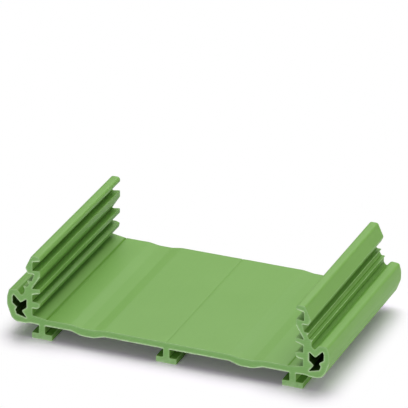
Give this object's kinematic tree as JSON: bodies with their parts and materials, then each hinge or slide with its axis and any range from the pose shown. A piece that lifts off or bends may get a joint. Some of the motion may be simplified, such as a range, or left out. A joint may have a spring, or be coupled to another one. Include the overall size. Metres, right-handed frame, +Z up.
{
  "type": "din rail module housing profile",
  "caption": "Extruded plastic base profile with slotted side rails that hold a circuit board, standing on T-shaped feet for clip-on rail feet.",
  "frame": {"origin": "on the ground under the feet, in the middle of the footprint", "axes": "+X across the profile from rail to rail, +Y along the extrusion, +Z up from the feet towards the open top"},
  "size_m": [0.086, 0.0524, 0.0227],
  "materials": {
    "profile": "semi-matte extruded rigid PVC, green, with fine lines along the extrusion and sawn ends"
  },
  "bodies": {
    "root": {"module_housing": "profile"}
  },
  "joints": []
}
